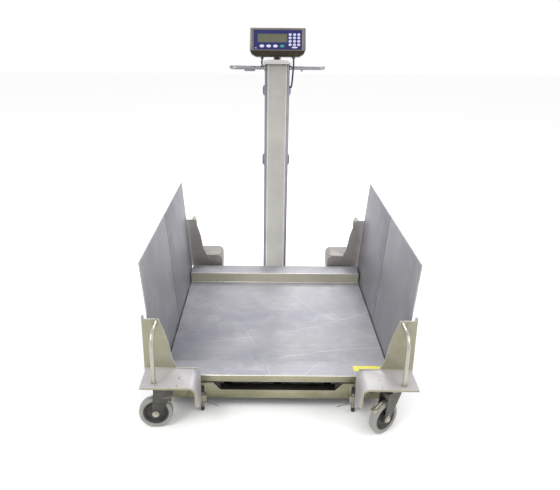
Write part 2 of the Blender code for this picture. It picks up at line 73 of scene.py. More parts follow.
def setLights():
    for name, facts in lamps.items():
        lamp = bpy.data.lights.new(name + "Lamp", "AREA")
        lamp.energy = facts["power"]
        lamp.size = facts["size"]
        holder = bpy.data.objects.new(name + "Lamp", lamp)
        bpy.context.scene.collection.objects.link(holder)
        holder.location = facts["place"]
        aim = Vector((0.0, 0.0, 0.4)) - holder.location
        holder.rotation_euler = aim.to_track_quat("-Z", "Y").to_euler()
    world = bpy.data.worlds.new("studio")
    world.use_nodes = True
    world.node_tree.nodes["Background"].inputs["Color"].default_value = (1.0, 1.0, 1.0, 1.0)
    world.node_tree.nodes["Background"].inputs["Strength"].default_value = 1.0
    bpy.context.scene.world = world
    bpy.context.scene.view_settings.view_transform = "Standard"


def clearSelection():
    for item in list(bpy.context.selected_objects):
        item.select_set(False)


def setFloor():
    clearSelection()
    bpy.ops.mesh.primitive_plane_add(size=30.0, location=(0.0, 0.0, 0.0))
    floor = bpy.context.object
    floor.name = "studioFloor"
    paint = bpy.data.materials.new("floorPaint")
    paint.use_nodes = True
    shader = paint.node_tree.nodes["Principled BSDF"]
    shader.inputs["Base Color"].default_value = (0.965, 0.965, 0.965, 1.0)
    shader.inputs["Roughness"].default_value = 0.9
    floor.data.materials.append(paint)


setCamera()
setLights()
setFloor()
print("studio set")


# Node groups: worked steel, moulded rubber and plastic, long scores, the column's painted shade bands and
# highlight line, and the ramps' painted seam shadow
def newGroup(name, inputs, outputs):
    group = bpy.data.node_groups.new(name, "ShaderNodeTree")
    for label, kind, value in inputs:
        socket = group.interface.new_socket(name=label, in_out="INPUT", socket_type=kind)
        socket.default_value = value
    for label, kind in outputs:
        group.interface.new_socket(name=label, in_out="OUTPUT", socket_type=kind)
    return group, group.nodes.new("NodeGroupInput"), group.nodes.new("NodeGroupOutput")


class Wiring:
    # A short way to add and join nodes in one tree
    def __init__(self, tree):
        self.tree = tree

    def add(self, kind, links=(), **values):
        node = self.tree.nodes.new(kind)
        for key, value in values.items():
            setattr(node, key, value)
        for socket, source in dict(links).items():
            target = node.inputs[socket]
            if isinstance(source, bpy.types.NodeSocket):
                self.tree.links.new(source, target)
            else:
                target.default_value = source
        return node

    def math(self, operation, a, b=0.0, clamp=False):
        node = self.add("ShaderNodeMath", {0: a, 1: b}, operation=operation)
        node.use_clamp = clamp
        return node.outputs[0]

    def blendColor(self, factor, a, b):
        node = self.add("ShaderNodeMix", {0: factor, 6: a, 7: b}, data_type="RGBA")
        return node.outputs[2]

    def window(self, value, low, high, toLow=0.0, toHigh=1.0):
        node = self.add("ShaderNodeMapRange", {0: value, 1: low, 2: high, 3: toLow, 4: toHigh})
        return node.outputs[0]

    def noise(self, vector, scale, detail=2.0, roughness=0.5):
        node = self.add("ShaderNodeTexNoise", {"Vector": vector, "Scale": scale, "Detail": detail,
                                               "Roughness": roughness})
        return node.outputs["Fac"]


def buildSteelGroup():
    group, given, result = newGroup(
        "workedSteel",
        [("Tone", "NodeSocketColor", (0.5, 0.5, 0.5, 1.0)), ("Second Tone", "NodeSocketColor", (0.5, 0.5,
                                                                                                0.5, 1.0)),
         ("Grain Stretch", "NodeSocketVector", (1.0, 1.0, 1.0)), ("Grain", "NodeSocketFloat", 0.3),
         ("Scratches", "NodeSocketFloat", 0.3), ("Scuffs", "NodeSocketFloat", 0.3),
         ("Roughness", "NodeSocketFloat", 0.4)],
        [("Color", "NodeSocketColor"), ("Roughness", "NodeSocketFloat"), ("Height", "NodeSocketFloat")])
    w = Wiring(group)
    place = w.add("ShaderNodeTexCoord").outputs["Object"]
    stretched = w.add("ShaderNodeVectorMath", {0: place, 1: given.outputs["Grain Stretch"]},
                      operation="MULTIPLY").outputs[0]
    grain = w.noise(stretched, 1.0, 3.0, 0.6)
    cloud = w.window(w.noise(place, 3.2, 5.0, 0.62), 0.36, 0.66)
    patch = w.window(w.noise(place, 9.0, 4.0, 0.7), 0.48, 0.72)
    lines = None
    for spin, along, across, low in ((0.35, 2.2, 95.0, 0.645), (-0.9, 1.6, 120.0, 0.650), (1.45, 2.8, 80.0,
                                                                                           0.660)):
        turned = w.add("ShaderNodeMapping", {"Vector": place, "Rotation": (spin * 0.4, spin * 0.7, spin),
                                             "Scale": (along, across, across * 0.6)}).outputs[0]
        line = w.window(w.noise(turned, 1.0, 2.0, 0.4), low, low + 0.03)
        lines = line if lines is None else w.math("MAXIMUM", lines, line)
    broken = w.window(w.noise(place, 5.5, 3.0), 0.47, 0.62)
    scratch = w.math("MULTIPLY", w.math("MULTIPLY", lines, broken), given.outputs["Scratches"], True)
    tone = w.blendColor(w.math("MULTIPLY", cloud, 0.8), given.outputs["Tone"], given.outputs["Second Tone"])
    shade = w.math("MULTIPLY_ADD", w.math("SUBTRACT", grain, 0.5), given.outputs["Grain"])
    w.tree.nodes[-1].inputs[2].default_value = 1.0
    grained = w.add("ShaderNodeVectorMath", {0: tone}, operation="SCALE")
    w.tree.links.new(shade, grained.inputs["Scale"])
    scuffed = w.blendColor(w.math("MULTIPLY", patch, given.outputs["Scuffs"], True), grained.outputs[0],
                           (0.62, 0.62, 0.64, 1.0))
    scored = w.blendColor(scratch, scuffed, (0.80, 0.80, 0.80, 1.0))
    w.tree.links.new(scored, result.inputs["Color"])
    dull = w.math("ADD", given.outputs["Roughness"], w.math("MULTIPLY", w.math("SUBTRACT", cloud, 0.5), 0.12))
    dull = w.math("ADD", dull, w.math("MULTIPLY", w.math("SUBTRACT", grain, 0.5), given.outputs["Grain"]))
    dull = w.math("SUBTRACT", dull, w.math("MULTIPLY", scratch, 0.15), True)
    w.tree.links.new(dull, result.inputs["Roughness"])
    height = w.math("SUBTRACT", w.math("MULTIPLY", grain, given.outputs["Grain"]), w.math("MULTIPLY",
                                                                                          scratch, 0.6))
    w.tree.links.new(height, result.inputs["Height"])
    return group


def buildMouldedGroup():
    group, given, result = newGroup(
        "mouldedSurface",
        [("Tone", "NodeSocketColor", (0.1, 0.1, 0.1, 1.0)), ("Dust", "NodeSocketColor", (0.3, 0.3, 0.3, 1.0)),
         ("Dust Amount", "NodeSocketFloat", 0.3), ("Grain Scale", "NodeSocketFloat", 600.0),
         ("Roughness", "NodeSocketFloat", 0.5)],
        [("Color", "NodeSocketColor"), ("Roughness", "NodeSocketFloat"), ("Height", "NodeSocketFloat")])
    w = Wiring(group)
    place = w.add("ShaderNodeTexCoord").outputs["Object"]
    dust = w.window(w.noise(place, 26.0, 6.0, 0.7), 0.42, 0.70)
    speck = w.window(w.noise(place, 240.0, 2.0, 0.5), 0.55, 0.70)
    fine = w.noise(place, given.outputs["Grain Scale"], 2.0, 0.5)
    cover = w.math("MULTIPLY", w.math("MAXIMUM", dust, w.math("MULTIPLY", speck, 0.4)),
                   given.outputs["Dust Amount"], True)
    w.tree.links.new(w.blendColor(cover, given.outputs["Tone"], given.outputs["Dust"]),
                     result.inputs["Color"])
    dull = w.math("ADD", given.outputs["Roughness"], w.math("MULTIPLY", cover, 0.2))
    w.tree.links.new(w.math("ADD", dull, w.math("MULTIPLY", w.math("SUBTRACT", fine, 0.5), 0.1), True),
                     result.inputs["Roughness"])
    w.tree.links.new(fine, result.inputs["Height"])
    return group


def buildScoreGroup():
    # One long curved score, part of a wide circle drawn on the deck
    group, given, result = newGroup(
        "curvedScore",
        [("Color", "NodeSocketColor", (0.5, 0.5, 0.5, 1.0)), ("Centre", "NodeSocketVector", (0.0, 0.0, 0.0)),
         ("Radius", "NodeSocketFloat", 1.0), ("Width", "NodeSocketFloat", 0.001), ("Strength",
                                                                                   "NodeSocketFloat", 0.5)],
        [("Color", "NodeSocketColor")])
    w = Wiring(group)
    place = w.add("ShaderNodeTexCoord").outputs["Object"]
    away = w.add("ShaderNodeVectorMath", {0: place, 1: given.outputs["Centre"]},
                 operation="SUBTRACT").outputs[0]
    flat = w.add("ShaderNodeVectorMath", {0: away, 1: (1.0, 1.0, 0.0)}, operation="MULTIPLY").outputs[0]
    reach = w.add("ShaderNodeVectorMath", {0: flat}, operation="LENGTH").outputs["Value"]
    waver = w.math("MULTIPLY", w.math("SUBTRACT", w.noise(place, 7.0, 2.0), 0.5), 0.03)
    off = w.math("ABSOLUTE", w.math("SUBTRACT", w.math("ADD", reach, waver), given.outputs["Radius"]))
    mark = w.math("SUBTRACT", 1.0, w.math("DIVIDE", off, given.outputs["Width"]), True)
    patchy = w.window(w.noise(place, 6.0, 3.0), 0.42, 0.60)
    factor = w.math("MULTIPLY", w.math("MULTIPLY", mark, patchy), given.outputs["Strength"], True)
    w.tree.links.new(w.blendColor(factor, given.outputs["Color"], (0.86, 0.85, 0.84, 1.0)),
                     result.inputs["Color"])
    return group


def buildShadeBandGroup():
    # Painted shade: a darker band along each side of a tall face, parted from the middle by a painted
    # highlight line
    group, given, result = newGroup(
        "sideShadeBands",
        [("Color", "NodeSocketColor", (0.5, 0.5, 0.5, 1.0)), ("Reach", "NodeSocketFloat", 0.05),
         ("Line", "NodeSocketFloat", 0.002)],
        [("Color", "NodeSocketColor")])
    w = Wiring(group)
    place = w.add("ShaderNodeTexCoord").outputs["Object"]
    parts = w.add("ShaderNodeSeparateXYZ", {0: place}).outputs
    waver = w.math("MULTIPLY", w.math("SUBTRACT", w.noise(place, 30.0, 2.0), 0.5), 0.0016)
    across = w.math("ADD", w.math("ABSOLUTE", parts[0]), waver)
    past = w.math("DIVIDE", w.math("SUBTRACT", across, given.outputs["Reach"]), given.outputs["Line"])
    outer = w.math("MULTIPLY", w.math("SUBTRACT", past, 0.6, True), 2.5, True)
    line = w.math("SUBTRACT", 1.0, w.math("ABSOLUTE", past), True)
    streak = w.window(w.noise(place, 16.0, 3.0), 0.35, 0.65, 0.55, 0.95)
    # Painted shade: bluish multiply along the side bands
    shaded = w.add("ShaderNodeMix", {0: 1.0, 6: given.outputs["Color"], 7: (0.56, 0.57, 0.66, 1.0)},
                   data_type="RGBA",
                   blend_type="MULTIPLY").outputs[2]
    banded = w.blendColor(outer, given.outputs["Color"], shaded)
    # Painted highlight line along the bend
    lined = w.blendColor(w.math("MULTIPLY", line, streak), banded, (0.90, 0.89, 0.86, 1.0))
    w.tree.links.new(lined, result.inputs["Color"])
    return group


def buildSeamShadowGroup():
    # A painted shadow line where two neighbouring panels meet at the middle of the length
    group, given, result = newGroup("panelSeamShadow", [("Color", "NodeSocketColor", (0.5, 0.5, 0.5, 1.0)),
                                                  ("Width", "NodeSocketFloat", 0.002)], [("Color",
                                                                                          "NodeSocketColor")])
    w = Wiring(group)
    place = w.add("ShaderNodeTexCoord").outputs["Object"]
    along = w.add("ShaderNodeSeparateXYZ", {0: place}).outputs[1]
    far = w.math("DIVIDE", w.math("ABSOLUTE", along), given.outputs["Width"])
    dark = w.math("MULTIPLY", w.math("SUBTRACT", 1.3, far, True), 0.85)
    w.tree.links.new(w.blendColor(dark, given.outputs["Color"], (0.035, 0.035, 0.045, 1.0)),
                     result.inputs["Color"])
    return group


steelGroup = buildSteelGroup()
mouldedGroup = buildMouldedGroup()
scoreGroup = buildScoreGroup()
shadeBandGroup = buildShadeBandGroup()
seamShadowGroup = buildSeamShadowGroup()
scores = [((0.55, -1.85, 0.0), 1.62, 0.0035, 0.50), ((-0.60, 1.70, 0.0), 1.92, 0.0028, 0.45),
          ((1.30, 0.90, 0.0), 1.36, 0.0026, 0.40), ((-1.25, -0.60, 0.0), 1.22, 0.0024, 0.45),
          ((0.10, -1.30, 0.0), 1.34, 0.0022, 0.35), ((0.90, -1.20, 0.0), 1.05, 0.0022, 0.40)]


def groupMaterial(name, group, values, metallic, bumpStrength, bumpDistance, coat=0.0):
    material = bpy.data.materials.new(name)
    material.use_nodes = True
    tree = material.node_tree
    shader = tree.nodes["Principled BSDF"]
    surface = tree.nodes.new("ShaderNodeGroup")
    surface.node_tree = group
    for label, value in values.items():
        surface.inputs[label].default_value = value
    tree.links.new(surface.outputs["Color"], shader.inputs["Base Color"])
    tree.links.new(surface.outputs["Roughness"], shader.inputs["Roughness"])
    bump = tree.nodes.new("ShaderNodeBump")
    bump.inputs["Strength"].default_value = bumpStrength
    bump.inputs["Distance"].default_value = bumpDistance
    tree.links.new(surface.outputs["Height"], bump.inputs["Height"])
    tree.links.new(bump.outputs["Normal"], shader.inputs["Normal"])
    shader.inputs["Metallic"].default_value = metallic
    shader.inputs["Coat Weight"].default_value = coat
    return material


steels = {
    "deckPlate": {"tone": (0.33, 0.33, 0.375), "second": (0.50, 0.49, 0.51), "stretch": (90.0, 260.0, 260.0),
                  "grain": 0.26, "scratches": 0.16, "scuffs": 0.35, "roughness": 0.58, "metallic": 0.55},
    # The deck lip's olive tone is a painted reflection on faces along Y
    "lipPaintedReflection": {"tone": (0.27, 0.26, 0.17), "second": (0.36, 0.33, 0.23), "stretch": (6.0, 200.0, 200.0),
                 "grain": 0.10, "scratches": 0.05, "scuffs": 0.16, "roughness": 0.38, "metallic": 0.70},
    "frameSteel": {"tone": (0.19, 0.185, 0.115), "second": (0.33, 0.31, 0.20), "stretch": (6.0, 160.0, 160.0),
                   "grain": 0.14, "scratches": 0.05, "scuffs": 0.16, "roughness": 0.40, "metallic": 0.70},
    "rampSheet": {"tone": (0.24, 0.245, 0.275), "second": (0.34, 0.335, 0.35), "stretch": (150.0, 150.0, 6.0),
                  "grain": 0.16, "scratches": 0.06, "scuffs": 0.18, "roughness": 0.52, "metallic": 0.50},
    "bracketPlate": {"tone": (0.41, 0.395, 0.41), "second": (0.52, 0.50, 0.49), "stretch": (14.0, 190.0,
                                                                                            190.0),
                     "grain": 0.12, "scratches": 0.08, "scuffs": 0.25, "roughness": 0.50, "metallic": 0.55},
    # The front webs' olive tone is a painted reflection on faces along Y
    "webPaintedReflection": {"tone": (0.255, 0.24, 0.165), "second": (0.34, 0.32, 0.235), "stretch": (150.0, 150.0, 10.0),
                 "grain": 0.14, "scratches": 0.04, "scuffs": 0.14, "roughness": 0.46, "metallic": 0.60},
    # Near-white painted highlight for the bevelled edges
    "paintedEdgeHighlight": {"tone": (0.86, 0.85, 0.76), "second": (0.80, 0.78, 0.70), "stretch": (60.0, 60.0, 60.0),
                   "grain": 0.10, "scratches": 0.0, "scuffs": 0.0, "roughness": 0.30, "metallic": 0.80},
    "roundBar": {"tone": (0.34, 0.33, 0.28), "second": (0.50, 0.48, 0.42), "stretch": (160.0, 160.0, 40.0),
                 "grain": 0.10, "scratches": 0.0, "scuffs": 0.0, "roughness": 0.28, "metallic": 0.90},
    "loopBar": {"tone": (0.22, 0.225, 0.24), "second": (0.34, 0.345, 0.36), "stretch": (40.0, 160.0, 160.0),
                "grain": 0.10, "scratches": 0.0, "scuffs": 0.0, "roughness": 0.28, "metallic": 0.90},
    "columnSteel": {"tone": (0.40, 0.39, 0.36), "second": (0.51, 0.495, 0.46), "stretch": (210.0, 210.0, 5.0),
                    "grain": 0.16, "scratches": 0.03, "scuffs": 0.20, "roughness": 0.48, "metallic": 0.50},
    # Darker bluish copy of the column steel: painted shade on the flanks
    "columnFlankShade": {"tone": (0.20, 0.205, 0.25), "second": (0.30, 0.305, 0.34), "stretch": (210.0, 210.0,
                                                                                            5.0),
                    "grain": 0.12, "scratches": 0.03, "scuffs": 0.05, "roughness": 0.36, "metallic": 0.70},
    "housingSteel": {"tone": (0.135, 0.115, 0.115), "second": (0.20, 0.175, 0.165), "stretch": (9.0, 260.0,
                                                                                                260.0),
                     "grain": 0.16, "scratches": 0.0, "scuffs": 0.05, "roughness": 0.36, "metallic": 0.92},
    "zincPlate": {"tone": (0.40, 0.38, 0.31), "second": (0.55, 0.52, 0.42), "stretch": (90.0, 90.0, 90.0),
                  "grain": 0.20, "scratches": 0.2, "scuffs": 0.10, "roughness": 0.34, "metallic": 0.9},
    "threadSteel": {"tone": (0.20, 0.19, 0.17), "second": (0.32, 0.30, 0.26), "stretch": (90.0, 90.0, 90.0),
                    "grain": 0.20, "scratches": 0.0, "scuffs": 0.10, "roughness": 0.42, "metallic": 0.9},
    "forkSteel": {"tone": (0.040, 0.040, 0.036), "second": (0.12, 0.115, 0.09), "stretch": (60.0, 60.0, 60.0),
                  "grain": 0.25, "scratches": 0.25, "scuffs": 0.08, "roughness": 0.40, "metallic": 0.7},
    "shadedSteel": {"tone": (0.012, 0.011, 0.009), "second": (0.028, 0.026, 0.020), "stretch": (40.0, 40.0,
                                                                                                40.0),
                    "grain": 0.20, "scratches": 0.0, "scuffs": 0.0, "roughness": 0.70, "metallic": 0.2},
    # Darker copy of the housing steel: painted shade on downward faces
    "housingUnderShade": {"tone": (0.050, 0.046, 0.034), "second": (0.105, 0.095, 0.065), "stretch": (9.0, 260.0,
                                                                                                 260.0),
                     "grain": 0.20, "scratches": 0.0, "scuffs": 0.0, "roughness": 0.34, "metallic": 0.9},
    # Lighter copy of the lip steel: painted light on the rear strip's front face
    "rearLipPaintedLight": {"tone": (0.42, 0.40, 0.31), "second": (0.54, 0.51, 0.41), "stretch": (6.0, 200.0, 200.0),
                "grain": 0.14, "scratches": 0.05, "scuffs": 0.15, "roughness": 0.50, "metallic": 0.35},
    # Darker copy of the bracket steel: painted shade on the rear brackets
    "rearSheetPaintedShade": {"tone": (0.27, 0.255, 0.245), "second": (0.37, 0.35, 0.335), "stretch": (14.0, 190.0,
                                                                                           190.0),
                  "grain": 0.14, "scratches": 0.05, "scuffs": 0.20, "roughness": 0.50, "metallic": 0.50},
    "cellSteel": {"tone": (0.50, 0.50, 0.50), "second": (0.58, 0.58, 0.57), "stretch": (20.0, 300.0, 300.0),
                  "grain": 0.10, "scratches": 0.1, "scuffs": 0.0, "roughness": 0.30, "metallic": 1.0},
    "weldMetal": {"tone": (0.55, 0.53, 0.47), "second": (0.30, 0.28, 0.22), "stretch": (500.0, 500.0, 500.0),
                  "grain": 0.30, "scratches": 0.0, "scuffs": 0.0, "roughness": 0.30, "metallic": 0.9},
}
moulded = {
    "coreCompound": {"tone": (0.014, 0.014, 0.013), "dust": (0.075, 0.070, 0.052), "amount": 0.50,
                     "grain": 500.0,
                     "roughness": 0.5},
    "tyreRubber": {"tone": (0.235, 0.235, 0.225), "dust": (0.36, 0.345, 0.27), "amount": 0.55, "grain": 420.0,
                   "roughness": 0.7},
    "footRubber": {"tone": (0.014, 0.014, 0.014), "dust": (0.08, 0.08, 0.07), "amount": 0.4, "grain": 700.0,
                   "roughness": 0.75},
    "neckPlastic": {"tone": (0.016, 0.016, 0.018), "dust": (0.05, 0.05, 0.05), "amount": 0.25, "grain": 900.0,
                    "roughness": 0.42},
    "overlayFilm": {"tone": (0.012, 0.014, 0.085), "dust": (0.018, 0.020, 0.11), "amount": 0.30,
                    "grain": 1500.0,
                    "roughness": 0.30},
    "displayGlass": {"tone": (0.085, 0.088, 0.052), "dust": (0.115, 0.112, 0.070), "amount": 0.5,
                     "grain": 1200.0,
                     "roughness": 0.16},
    "cableSheath": {"tone": (0.010, 0.010, 0.018), "dust": (0.05, 0.05, 0.06), "amount": 0.25, "grain": 900.0,
                    "roughness": 0.48},
    "whiteKey": {"tone": (0.52, 0.51, 0.68), "dust": (0.42, 0.42, 0.56), "amount": 0.35, "grain": 900.0,
                 "roughness": 0.36},
    "greenKey": {"tone": (0.03, 0.21, 0.17), "dust": (0.02, 0.15, 0.13), "amount": 0.35, "grain": 900.0,
                 "roughness": 0.36},
    "framePrint": {"tone": (0.060, 0.070, 0.200), "dust": (0.045, 0.050, 0.16), "amount": 0.3, "grain": 900.0,
                   "roughness": 0.35},
    "numeralInk": {"tone": (0.02, 0.02, 0.10), "dust": (0.03, 0.03, 0.12), "amount": 0.2, "grain": 900.0,
                   "roughness": 0.5},
    "yellowTape": {"tone": (0.80, 0.72, 0.03), "dust": (0.55, 0.50, 0.06), "amount": 0.30, "grain": 500.0,
                   "roughness": 0.4},
}
finishes = {}
for name, facts in steels.items():
    values = {"Tone": (*facts["tone"], 1.0), "Second Tone": (*facts["second"], 1.0),
              "Grain Stretch": facts["stretch"],
              "Grain": facts["grain"], "Scratches": facts["scratches"], "Scuffs": facts["scuffs"],
              "Roughness": facts["roughness"]}
    finishes[name] = groupMaterial(name, steelGroup, values, facts["metallic"], 0.25, 0.0006)
for name, facts in moulded.items():
    values = {"Tone": (*facts["tone"], 1.0), "Dust": (*facts["dust"], 1.0), "Dust Amount": facts["amount"],
              "Grain Scale": facts["grain"], "Roughness": facts["roughness"]}
    finishes[name] = groupMaterial(name, mouldedGroup, values, 0.0, 0.2, 0.0004)


def layerColor(finish, group, values):
    # Runs the finish's colour through one more group
    tree = finishes[finish].node_tree
    target = tree.nodes["Principled BSDF"].inputs["Base Color"]
    layer = tree.nodes.new("ShaderNodeGroup")
    layer.node_tree = group
    for label, value in values.items():
        layer.inputs[label].default_value = value
    tree.links.new(target.links[0].from_socket, layer.inputs["Color"])
    tree.links.new(layer.outputs["Color"], target)


for centre, radius, width, strength in scores:
    layerColor("deckPlate", scoreGroup, {"Centre": centre, "Radius": radius, "Width": width,
                                         "Strength": strength})
# Painted shadow line at the ramps' seam; painted shade bands and a highlight line on the column face
layerColor("rampSheet", seamShadowGroup, {"Width": 0.0030})
layerColor("columnSteel", shadeBandGroup, {"Reach": 0.0465, "Line": 0.0024})
for name in ("overlayFilm", "whiteKey", "framePrint"):
    finishes[name].node_tree.nodes["Principled BSDF"].inputs["Specular IOR Level"].default_value = 0.3
print("finishes mixed")


# Cables first: they stand where the part's own leads run
def wholePath(points, count):
    ring = [points[0]] + list(points) + [points[-1]]
    path = []
    for i in range(len(points) - 1):
        a, b, c, d = [Vector(p) for p in ring[i:i + 4]]
        for k in range(count):
            t = k / count
            path.append(0.5 * (2 * b + (c - a) * t + (2 * a - 5 * b + 4 * c - d) * t ** 2
                               + (3 * b - 3 * c + d - a) * t ** 3))
    return path + [Vector(points[-1])]


tiltAxis = Vector((0.0, 0.655, 1.306))
leanBack = Matrix.Rotation(math.radians(-12.0), 4, "X")


def onTerminal(x, y, z):
    return tiltAxis + leanBack @ Vector((x, y, z))


cables = {
    "right": {"start": onTerminal(0.081, -0.030, -0.0684),
              "route": [onTerminal(0.081, -0.030, -0.0745), (0.0815, 0.603, 1.218), (0.0795, 0.598, 1.190),
                        (0.0765, 0.600, 1.145), (0.0740, 0.612, 1.117), (0.0715, 0.625, 1.1045)],
              "finish": (0.0633, 0.625, 1.1045)},
    "left": {"start": onTerminal(-0.077, -0.030, -0.0684),
             "route": [onTerminal(-0.077, -0.030, -0.0745), (-0.0792, 0.632, 1.2260), (-0.0800, 0.660,
                                                                                       1.2225),
                       (-0.0790, 0.688, 1.2170), (-0.0690, 0.7040, 1.1980), (-0.0550, 0.7020, 1.1660),
                       (-0.0500, 0.6940, 1.1500)],
             "finish": (-0.0500, 0.6853, 1.1500)},
}
cableRadius = 0.0042


def finishPiece(piece, finish, body, replaced=()):
    piece.data.materials.clear()
    piece.data.materials.append(finishes[finish])
    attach(piece, body)
    if replaced:
        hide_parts(*replaced)
    return piece


def tubeAlong(name, points, radius, sides=3, swell=None):
    # Round bar along points; swell gives each point its share of the radius
    clearSelection()
    curve = bpy.data.curves.new(name, "CURVE")
    curve.dimensions = "3D"
    curve.bevel_depth = radius
    curve.bevel_resolution = sides
    curve.use_fill_caps = True
    spline = curve.splines.new("POLY")
    spline.points.add(len(points) - 1)
    for i, point in enumerate(points):
        spline.points[i].co = (*point, 1.0)
        spline.points[i].radius = swell[i] if swell else 1.0
    piece = bpy.data.objects.new(name, curve)
    bpy.context.scene.collection.objects.link(piece)
    piece.select_set(True)
    bpy.context.view_layer.objects.active = piece
    bpy.ops.object.convert(target="MESH")
    bpy.ops.object.mode_set(mode="EDIT")
    bpy.ops.mesh.select_all(action="SELECT")
    bpy.ops.mesh.remove_doubles(threshold=0.00001)
    bpy.ops.mesh.normals_make_consistent(inside=False)
    bpy.ops.object.mode_set(mode="OBJECT")
    bpy.ops.object.shade_smooth_by_angle(angle=math.radians(50.0))
    return piece


for side, facts in cables.items():
    path = [Vector(facts["start"])] + wholePath(facts["route"], 10) + [Vector(facts["finish"])]
    cable = tubeAlong("cable_" + side, path, cableRadius, 4)
    cable.data.materials.append(finishes["cableSheath"])
    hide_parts("lead_" + side)
    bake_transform(cable)
print("cables run")


# Steel pieces: each CAD solid is copied, merged and given the small radii that catch the light
def facesOnly(piece, threshold=0.00001):
    clearSelection()
    piece.select_set(True)
    bpy.context.view_layer.objects.active = piece
    bpy.ops.object.mode_set(mode="EDIT")
    bpy.ops.mesh.select_all(action="SELECT")
    bpy.ops.mesh.remove_doubles(threshold=threshold)
    bpy.ops.mesh.dissolve_limited(angle_limit=math.radians(1.0))
    bpy.ops.object.mode_set(mode="OBJECT")


def applyBevel(piece, width, segments, angle, edgeSlot=-1):
    bevel = piece.modifiers.new("edgeRadius", "BEVEL")
    bevel.material = edgeSlot
    bevel.width = width
    bevel.segments = segments
    bevel.limit_method = "ANGLE"
    bevel.angle_limit = math.radians(angle)
    bevel.miter_outer = "MITER_ARC"
    bpy.context.view_layer.objects.active = piece
    bpy.ops.object.modifier_apply(modifier="edgeRadius")
    clearSelection()
    piece.select_set(True)
    bpy.ops.object.shade_smooth_by_angle(angle=math.radians(40.0))


# Painted shade mask: faces inside this box under the deck, and frame-bar tops below frameBarTop
frameInside = {"halfX": 0.40, "halfY": 0.50, "top": 0.09}
frameBarTop = 0.10


def coatFor(node, face, coatCount):
    # Coats in order: most faces, a painted edge highlight, faces along Y (a painted olive reflection on the
    # deck lip and front webs), faces out of the light in painted shade, the rear strip's front painted
    # lighter as lit
    middle = face.center
    within = abs(middle.x) < frameInside["halfX"] and abs(middle.y) < frameInside["halfY"]
    shaded = face.normal.z < -0.3 or (middle.z < frameInside["top"] and within)
    # Frame-bar tops under the deck and the deck's side faces are painted in shade
    if node == "base_frame" and face.normal.z > 0.5 and middle.z < frameBarTop:
        shaded = True
    if node == "deck" and abs(face.normal.x) > 0.5:
        shaded = True
    if coatCount > 3 and shaded:
        return 3
    # The rear strip's front face is painted lighter, as lit
    if coatCount > 4 and face.normal.y < -0.5 and middle.y > 0.0:
        return 4
    if coatCount > 2 and abs(face.normal.y) > 0.5:
        return 2
    return 0


def radiusedCopy(node, name, width, coats, segments=2, angle=30.0):
    piece = nodes[node].copy()
    piece.data = nodes[node].data.copy()
    piece.name = name
    for key in list(piece.keys()):
        if key.startswith("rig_"):
            del piece[key]
    piece.parent = None
    piece.matrix_world = Matrix.Identity(4)
    bpy.context.scene.collection.objects.link(piece)
    facesOnly(piece)
    piece.data.materials.clear()
    for coat in coats:
        piece.data.materials.append(finishes[coat])
    for face in piece.data.polygons:
        face.material_index = coatFor(node, face, len(coats))
    # Bevel faces take coat 1, a painted edge highlight, where the piece has several coats
    if width:
        applyBevel(piece, width, segments, angle, 1 if len(coats) > 1 else -1)
    return piece


plates = {
    "deck": (("deckPlate", "paintedEdgeHighlight", "lipPaintedReflection", "shadedSteel", "rearLipPaintedLight"), "scale", "deck_steel",
             0.0022),
    "base_frame": (("frameSteel", "paintedEdgeHighlight", "frameSteel", "shadedSteel"), "scale", "frame_steel", 0.0014),
    "column_cap": (("bracketPlate", "paintedEdgeHighlight"), "scale", "column_steel", 0.0014),
    # The cable hooks take the flanks' painted shade
    "cable_hook_lower": (("columnFlankShade",), "scale", "column_steel", 0.0012),
    "cable_hook_upper": (("columnFlankShade",), "scale", "column_steel", 0.0012),
    # The housing's downward faces take a darker copy as painted shade
    "terminal_housing": (("housingSteel", "housingSteel", "housingSteel", "housingUnderShade"), "indicator",
                         "housing_steel", 0.0032),
    "tilt_bracket": (("neckPlastic",), "indicator", "neck_black", 0.0008),
}
for side, end in corners:
    corner = side + "_" + end
    plates["ramp_" + corner] = (("rampSheet",), "ramp_" + corner, "ramp_sheet", 0.0007)
    # Front webs carry a painted olive reflection; rear brackets take a darker copy as painted shade
    sheets = ("bracketPlate", "paintedEdgeHighlight", "webPaintedReflection") if end == "front" else ("rearSheetPaintedShade", "paintedEdgeHighlight",
                                                                                "rearSheetPaintedShade")
    plates["bracket_" + corner] = (sheets, "scale", "bracket_steel", 0.0016)
    plates["bracket_mount_" + corner] = (("webPaintedReflection",), "scale", "bracket_steel", 0.0012)
    plates["fork_" + corner] = (("forkSteel",), "caster_" + corner, "fork_steel", 0.0010)
    plates["caster_plate_" + corner] = (("zincPlate",), "scale", "zinc_steel", 0.0008)
    plates["load_cell_" + corner] = (("cellSteel",), "scale", "cell_steel", 0.0010)
    if end == "front":
        plates["jam_lever_" + corner] = (("threadSteel",), "jam_lever_" + corner, "zinc_steel", 0.0008)
for node, (coats, body, slotName, width) in plates.items():
    piece = radiusedCopy(node, node + "_formed", width, coats)
    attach(piece, body)
    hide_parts(node)
print("plates radiused")

# Solids whose shape is kept, with a worked finish
kept = {"neck": "neckPlastic", "tilt_bolt": "neckPlastic", "terminal_overlay": "overlayFilm",
        "terminal_display": "displayGlass", "hinge_rod_left": "roundBar", "hinge_rod_right": "roundBar",
        "hand_loop_left": "loopBar", "hand_loop_right": "loopBar"}
for side, end in corners:
    corner = side + "_" + end
    kept["handle_" + corner] = "roundBar"
    kept["wheel_core_" + corner] = "coreCompound"
    kept["tyre_" + corner] = "tyreRubber"
    if end == "front":
        kept["foot_pad_" + corner] = "footRubber"
for node, finish in kept.items():
    solid = nodes[node]
    for place in solid.material_slots:
        place.material = finishes[finish]
    clearSelection()
    solid.select_set(True)
    bpy.context.view_layer.objects.active = solid
    bpy.ops.object.shade_smooth_by_angle(angle=math.radians(40.0))
print("kept solids finished")


